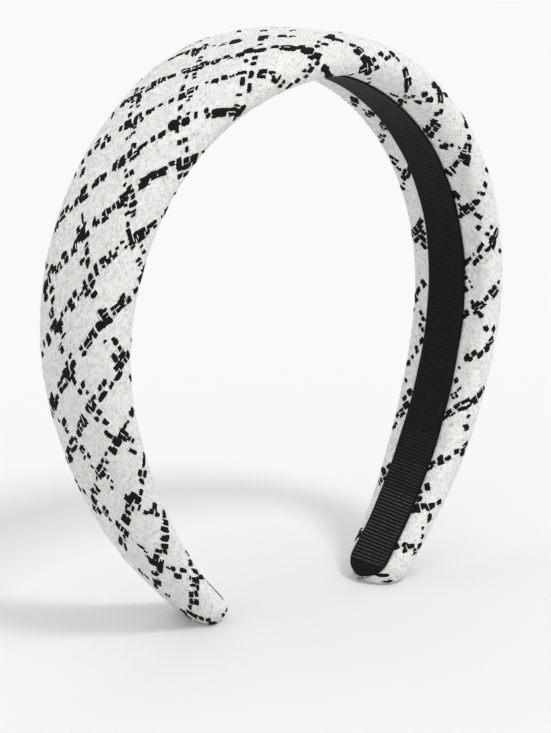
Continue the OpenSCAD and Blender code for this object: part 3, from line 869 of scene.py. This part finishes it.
# Above this height, as a share of its own, a rib's crest takes a painted sheen, a lighter
# grey in this many levels, brightest over the lower legs where the key light falls on the ribbon
PAINTED_SHEEN_ABOVE = 0.3
PAINTED_SHEEN_LEVELS = 4
# How far towards the back the ribbon was laid off the band's middle, by place
LAID_AT = [-185, -160, -100, 60, 105, 130, 172, 188]
LAID_OFF = [1.2, 1.1, 0, 0, 0.2, -0.35, -0.35, 0]
# The ribbon's end reaches further over the nose at the back
END_SLANT = 0.06
END_SLANT_OVER = 12.0
# The ribbon's section: across it as a share of half its width, its depth below the band's
# inner face, and how much of a rib each point has
RIBBON_SECTION = chart("""
-1,-0.45,0 -0.97,-0.62,0 -0.9,-0.64,0.2 -0.84,-0.6,1 -0.5,-0.6,1 0,-0.6,1 0.5,-0.6,1 0.84,-0.6,1
0.9,-0.64,0.2 0.97,-0.62,0 1,-0.45,0 1,-0.25,0 0,-0.25,0 -1,-0.25,0
""")


def ribbon():
    """The ribbon as a closed strip under the inner face, with the material of each face:
    first the plain black between ribs, then the painted sheen of the rib crests, from the
    faintest over the upper band to the brightest over the lower legs."""
    end = LEG_LENGTH - RIBBON_STOP
    s = np.linspace(-end, end, int(2 * end / RIB_PITCH * ROWS_PER_RIB) + 1)
    a = np.abs(s)
    into = np.clip((a - end + RIBBON_ROUND) / RIBBON_ROUND, 0, 1)
    half = RIBBON_WIDTH / 2 * np.maximum(np.sqrt(1 - into**RIBBON_CORNER), RIBBON_END_SHARE)
    half = half * (1 + sum(share * np.sin(s / span + start) for share, span, start in RIBBON_WAVES))
    lift = NOSE_HEIGHT * (1 - tip_share(a) ** THINNING_EXPONENT)
    across, depth, ribbed = RIBBON_SECTION.T
    v = across * half[:, None]
    ribbed = ribbed * np.clip((end - a - RIBS_STOP) / RIBS_FADE, 0, 1)[:, None]
    rib = np.cos(s / RIB_PITCH * 2 * math.pi)[:, None] * ribbed
    strength = np.interp(a, RIBS_RISE, (FLAT_RIBS, 1.0))
    out = lift[:, None] + depth - RIB_HEIGHT * rib * strength[:, None]
    near_end = np.clip((a - end + END_SLANT_OVER) / END_SLANT_OVER, 0, 1) ** 2
    slant = np.sign(s)[:, None] * END_SLANT * near_end[:, None] - RIB_SLANT * (1 - near_end[:, None])
    reach = s[:, None] + slant * v
    laid = np.interp(s, LAID_AT, LAID_OFF)
    points = place(reach, v + laid[:, None], out)
    points[..., 2] = np.maximum(points[..., 2] - surface.ground, 0)
    faces = grid_faces(len(s), len(across), closed=True)
    # Faces high on a rib get the painted sheen, in levels that brighten towards the lower legs
    crest = rib.ravel()[faces].mean(-1) > PAINTED_SHEEN_ABOVE
    painted_sheen_rise = np.interp(a, RIBS_RISE, (0.0, PAINTED_SHEEN_LEVELS - 1.0))
    sheen_level = 1 + np.round(painted_sheen_rise[faces[:, 0] // len(across)]).astype(int)
    return points.reshape(-1, 3) * MM, faces, np.where(crest, sheen_level, 0)


def new_material(name):
    material = bpy.data.materials.new(name)
    material.use_nodes = True
    return material, material.node_tree, material.node_tree.nodes["Principled BSDF"]


def feed(tree, node, inputs):
    """Gives each of a node's inputs its value, or the socket that it comes from."""
    for name, value in inputs.items():
        if isinstance(value, bpy.types.NodeSocket):
            tree.links.new(value, node.inputs[name])
        else:
            node.inputs[name].default_value = value
    return node


def add_noise(tree, inputs, source=None):
    """A noise, in the object's own coordinates if no others are given."""
    if source is None:
        source = tree.nodes.new("ShaderNodeTexCoord").outputs["Object"]
    node = tree.nodes.new("ShaderNodeTexNoise")
    return feed(tree, node, {**inputs, "Vector": source}).outputs["Fac"]


def add_fibres(tree, stretch):
    """A noise in thread coordinates, drawn out along the threads of one family."""
    threads = tree.nodes.new("ShaderNodeAttribute")
    threads.attribute_name = "threads"
    mapping = tree.nodes.new("ShaderNodeMapping")
    feed(tree, mapping, {"Scale": stretch, "Vector": threads.outputs["Vector"]})
    return add_noise(tree, {"Scale": 1.0, "Detail": 1.5}, mapping.outputs["Vector"])


def add_ramp(tree, source, stops):
    """The colour of a value, from stops that are each a value and its colour."""
    ramp = feed(tree, tree.nodes.new("ShaderNodeValToRGB"), {"Fac": source})
    while len(ramp.color_ramp.elements) < len(stops):
        ramp.color_ramp.elements.new(0.5)
    for element, (position, colour) in zip(ramp.color_ramp.elements, stops):
        element.position = position
        element.color = (*colour, 1)
    return ramp.outputs["Color"]


def add_bump(tree, source, strength, distance):
    inputs = {"Height": source, "Strength": strength, "Distance": distance}
    return feed(tree, tree.nodes.new("ShaderNodeBump"), inputs).outputs["Normal"]


def add_math(tree, operation, first, second):
    node = tree.nodes.new("ShaderNodeMath")
    node.operation = operation
    return feed(tree, node, {0: first, 1: second}).outputs[0]


def mix_colours(tree, share, first, second):
    """The first colour, passing into the second by a share."""
    node = tree.nodes.new("ShaderNodeMix")
    node.data_type = "RGBA"
    return feed(tree, node, {"Factor": share, "A": first, "B": (*second, 1)}).outputs[2]


WOOL_SHADES = {"wool_shaded": 0.90, "wool": 0.98, "wool_bright": 1.04}
WOOL_TONES = (
    (0.34, (0.845, 0.821, 0.838)),
    (0.46, (0.842, 0.836, 0.828)),
    (0.56, (0.850, 0.844, 0.808)),
    (0.66, (0.862, 0.861, 0.797)),
)
WOOL_GREY = (0.52, 0.51, 0.49)
WOOL_LIGHT = (0.92, 0.915, 0.89)
# How fibres are drawn out along each family's threads, and the values of their noise at
# which grey flecks fade out and light ones come in
FIBRES_A = (0.55, 2.6, 1)
FIBRES_B = (2.6, 0.55, 1)
GREY_FLECKS = ((0.28, (1, 1, 1)), (0.42, (0, 0, 0)))
LIGHT_FLECKS = ((0.58, (0, 0, 0)), (0.72, (1, 1, 1)))
YARN_TONES = ((0.35, (0.006, 0.0058, 0.005)), (0.75, (0.016, 0.0155, 0.014)))
# The ribbon's darkest and lightest grey between its ribs, and as a painted sheen on its
# flattest rib crests, how many times that the painted sheen on its boldest ribs is, the share
# of blue in each, and where in the noise each lies
GREYS_BETWEEN_RIBS = (0.004, 0.008)
PAINTED_SHEEN_GREYS = (0.006, 0.014)
PAINTED_SHEEN_GAINS = (4.0, 6.0)
BLUE_SHARES = (0.86, 0.92)
RIBBON_STOPS = (0.35, 0.70)


def cloth_material(name, shade):
    """Off-white wool: cream and cooler patches, small grey flecks, and fibres as a bump."""

    def shaded(colour):
        return tuple(shade * part for part in colour)

    material, tree, shader = new_material(name)
    patches = add_noise(tree, {"Scale": 420, "Detail": 3, "Roughness": 0.6})
    ground = add_ramp(tree, patches, [(at, shaded(tone)) for at, tone in WOOL_TONES])
    fibres = add_fibres(tree, FIBRES_A), add_fibres(tree, FIBRES_B)
    lowest, highest = (add_math(tree, pick, *fibres) for pick in ("MINIMUM", "MAXIMUM"))
    flecked = mix_colours(tree, add_ramp(tree, lowest, GREY_FLECKS), ground, shaded(WOOL_GREY))
    fuzz = add_noise(tree, {"Scale": 3000, "Detail": 4, "Roughness": 0.65})
    inputs = {
        "Base Color": mix_colours(tree, add_ramp(tree, highest, LIGHT_FLECKS), flecked, WOOL_LIGHT),
        "Roughness": 0.92,
        "Specular IOR Level": 0.25,
        "Sheen Weight": 0.2,
        "Sheen Roughness": 0.5,
        "Normal": add_bump(tree, fuzz, strength=0.8, distance=0.00020),
    }
    feed(tree, shader, inputs)
    return material


def black_material(name, tones, scale, roughness, strength, distance):
    """Black fibres, a little uneven in colour and height."""
    material, tree, shader = new_material(name)
    streaks = add_noise(tree, {"Scale": scale, "Detail": 3, "Roughness": 0.6})
    inputs = {
        "Base Color": add_ramp(tree, streaks, tones),
        "Roughness": roughness,
        "Specular IOR Level": 0.08,
        "Normal": add_bump(tree, streaks, strength, distance),
    }
    feed(tree, shader, inputs)
    return material


def ribbon_material(name, greys):
    """Black ribbon in the greys it is given, uneven from thread to thread; the lighter greys
    given for rib crests are a painted sheen.
    """
    ends = zip(RIBBON_STOPS, greys, BLUE_SHARES)
    tones = [(at, (grey, grey, blue * grey)) for at, grey, blue in ends]
    return black_material(name, tones, scale=1500, roughness=0.55, strength=0.4, distance=0.00006)


def camera():
    """The photo's viewpoint, without shift or depth of field."""
    spot, right, up, ahead = camera_axes()
    data = bpy.data.cameras.new("photo_camera")
    data.sensor_width = 36.0
    data.lens = CAM_FOCAL * data.sensor_width / PICTURE_SIZE[1]
    data.clip_start = 0.01
    data.clip_end = 50
    view = bpy.data.objects.new("photo_camera", data)
    turn = Matrix((right, up, -ahead)).transposed()
    view.matrix_world = Matrix.Translation(spot * MM) @ turn.to_4x4()
    bpy.context.scene.collection.objects.link(view)
    bpy.context.scene.camera = view


# The key light comes from the photo's right, as its shadows say
LIGHT_FROM = Vector((0.037, -0.588, 0.808))
LIGHT_STRENGTH = 0.98
LIGHT_SPREAD = math.radians(12)
SKY_STRENGTH = 0.932
FLOOR_SIZE = 16
FLOOR_COLOUR = (0.80, 0.80, 0.80, 1)


def studio():
    """A plain pale floor, even light all round and one soft light from the right."""
    scene = bpy.context.scene
    world = bpy.data.worlds.new("studio")
    world.use_nodes = True
    background = world.node_tree.nodes["Background"]
    feed(world.node_tree, background, {"Color": (1, 1, 1, 1), "Strength": SKY_STRENGTH})
    scene.world = world
    lamp = bpy.data.lights.new("soft_key", "SUN")
    lamp.energy = LIGHT_STRENGTH
    lamp.angle = LIGHT_SPREAD
    key = bpy.data.objects.new("soft_key", lamp)
    key.rotation_euler = LIGHT_FROM.to_track_quat("Z", "Y").to_euler()
    scene.collection.objects.link(key)
    bpy.ops.mesh.primitive_plane_add(size=FLOOR_SIZE, location=(0, 0, 0))
    floor = bpy.context.active_object
    floor.name = "floor"
    material, tree, shader = new_material("pale_floor")
    feed(tree, shader, {"Base Color": FLOOR_COLOUR, "Roughness": 1.0, "Specular IOR Level": 0.0})
    floor.data.materials.append(material)
    scene.view_settings.view_transform = "Standard"


camera()
studio()
wools = [cloth_material(name, shade) for name, shade in WOOL_SHADES.items()]
black = black_material(
    "black_wool", YARN_TONES, scale=2600, roughness=0.9, strength=0.6, distance=0.00012
)
# The ribbon's plain black, then the painted sheen of its rib crests, lighter in each level
ribbon_black_and_sheens = [ribbon_material("black_grosgrain", GREYS_BETWEEN_RIBS)]
for sheen_level in range(PAINTED_SHEEN_LEVELS):
    sheen_strength = sheen_level / (PAINTED_SHEEN_LEVELS - 1)
    greys = [grey * gain**sheen_strength for grey, gain in zip(PAINTED_SHEEN_GREYS, PAINTED_SHEEN_GAINS)]
    ribbon_black_and_sheens.append(ribbon_material(f"black_grosgrain_painted_sheen_{sheen_level}", greys))

for name, (points, faces, threads, tint) in zip(("cover_left", "cover_right"), woven_cover()):
    cover = mesh_piece(name, points, faces, wools, threads, tint)
    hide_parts("padded_band")
    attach(cover, "root")

shown, round_it = charted_floats() + marked_floats(), carried_on_floats()
white_bars = []
for name, floats in (("black_yarn_shown", shown), ("black_yarn_round_it", round_it)):
    black_bars, over_them = yarn_floats(floats)
    white_bars += over_them
    yarn = mesh_piece(name, *bars_mesh(black_bars), [black])
    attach(yarn, "root")
binding = mesh_piece("white_threads_over_black", *bars_mesh(white_bars), [wools[2]])
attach(binding, "root")

# The ribbon, its rib crests carrying the painted sheen
points, faces, painted_sheen_of_face = ribbon()
lining = mesh_piece("ribbon", points, faces, ribbon_black_and_sheens, kinds=painted_sheen_of_face)
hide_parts("ribbon_lining")
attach(lining, "root")
